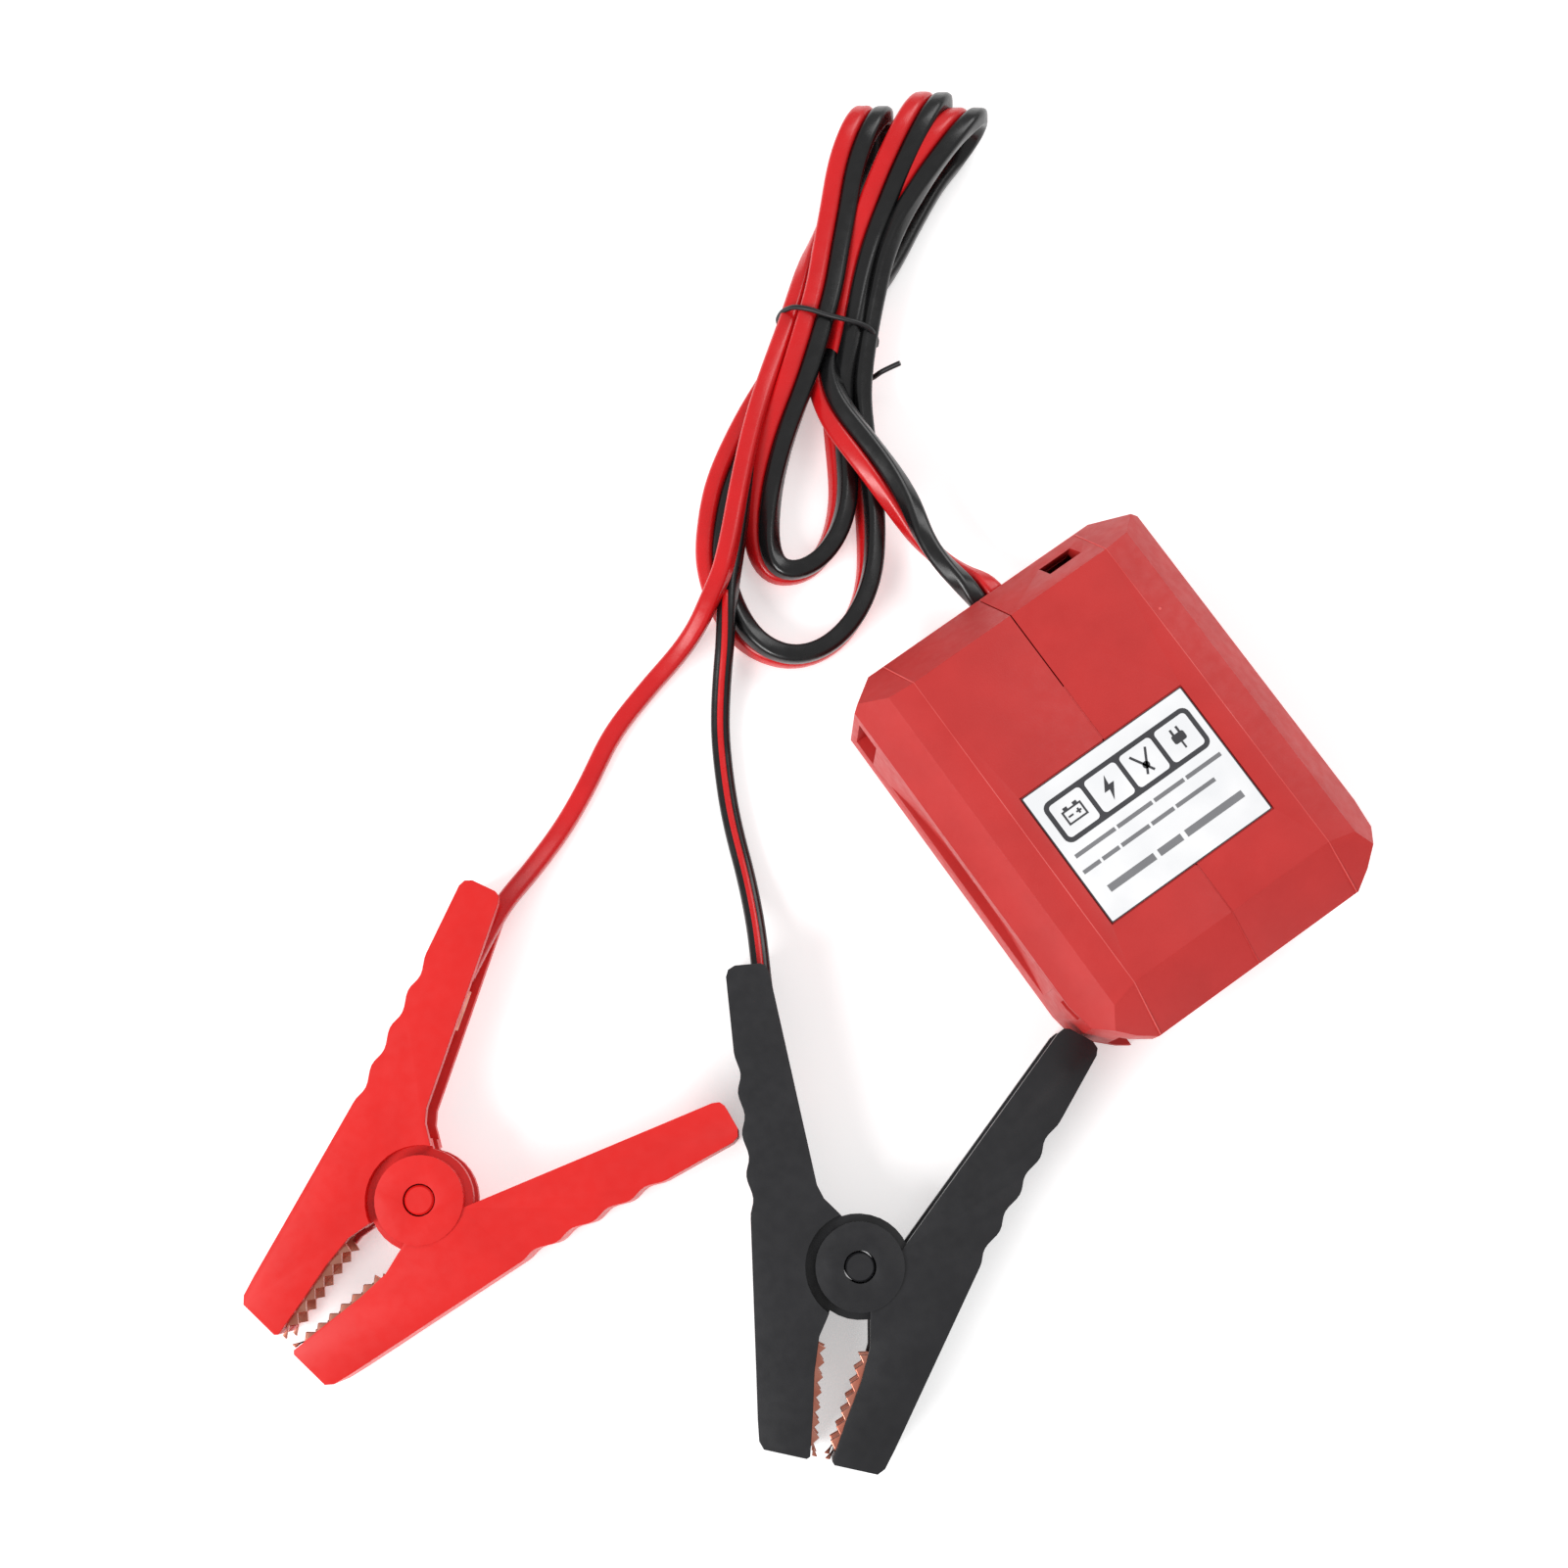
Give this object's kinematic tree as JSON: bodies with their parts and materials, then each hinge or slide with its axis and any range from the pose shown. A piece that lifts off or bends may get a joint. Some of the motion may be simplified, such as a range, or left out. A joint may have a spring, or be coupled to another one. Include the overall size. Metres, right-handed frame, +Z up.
{
  "type": "battery jump starter pack",
  "caption": "Battery-adapter housing with a top label and a battery cavity below, a folded twin cable held by a wire tie, and spring clamps with toothed copper jaws.",
  "frame": {"origin": "on the surface the object lies on, at the bottom centre of the box round the housing and the clamps, without the cable", "axes": "+Z up from that surface, +Y along the housing towards its cable end, +X across the housing away from the clamps"},
  "size_m": [0.2872, 0.2509, 0.038],
  "materials": {
    "housing_red": "fine moulded texture",
    "clamp_red": "smooth satin vinyl",
    "clamp_black": "fine satin texture",
    "cable_red": "smooth semi-gloss sheath",
    "cable_black": "smooth semi-gloss sheath",
    "copper": "bright copper plating, stamped",
    "steel": "zinc plated wire and screws",
    "brass": "bright stamped brass",
    "label": "silvery printed film",
    "black_plastic": "moulded, satin"
  },
  "bodies": {
    "pack": {"housing_left_shell": "housing_red", "housing_right_shell": "housing_red", "label": "label", "terminal_block": "black_plastic", "terminal_blade_positive": "brass", "terminal_blade_negative": "brass", "cable_bushing": "black_plastic", "strain_relief_bar": "black_plastic", "strain_screw_left": "steel", "strain_screw_right": "steel", "shell_screw_1": "steel", "shell_screw_2": "steel", "inner_red_wire": "cable_red", "inner_black_wire": "cable_black", "cable_tail_red": "cable_red", "cable_tail_black": "cable_black", "cable_hank": "cable_black", "twist_tie": "black_plastic", "red_lead": "cable_red", "black_lead": "cable_black", "red_fixed_grip": "clamp_red", "red_fixed_jaw": "copper", "red_pivot_pin": "clamp_red", "red_torsion_spring": "steel", "red_lead_lug": "brass", "black_fixed_grip": "clamp_black", "black_fixed_jaw": "copper", "black_pivot_pin": "clamp_black", "black_torsion_spring": "steel", "black_lead_lug": "brass"},
    "red_moving": {"red_moving_grip": "clamp_red", "red_moving_jaw": "copper"},
    "black_moving": {"black_moving_grip": "clamp_black", "black_moving_jaw": "copper"}
  },
  "joints": [
    {"name": "red_clamp_hinge", "type": "hinge", "parent": "pack", "child": "red_moving", "pos_m": [-0.08325, 0.02488, 0.0085], "axis": [0, 0, 1], "range_deg": [0, 42], "stiffness_Nm_per_rad": 0.3, "springref_deg": -34.38, "deforming": ["red_torsion_spring"]},
    {"name": "black_clamp_hinge", "type": "hinge", "parent": "pack", "child": "black_moving", "pos_m": [-0.01605, -0.03952, 0.0085], "axis": [0, 0, 1], "range_deg": [0, 42], "stiffness_Nm_per_rad": 0.3, "springref_deg": -34.38, "deforming": ["black_torsion_spring"]}
  ]
}
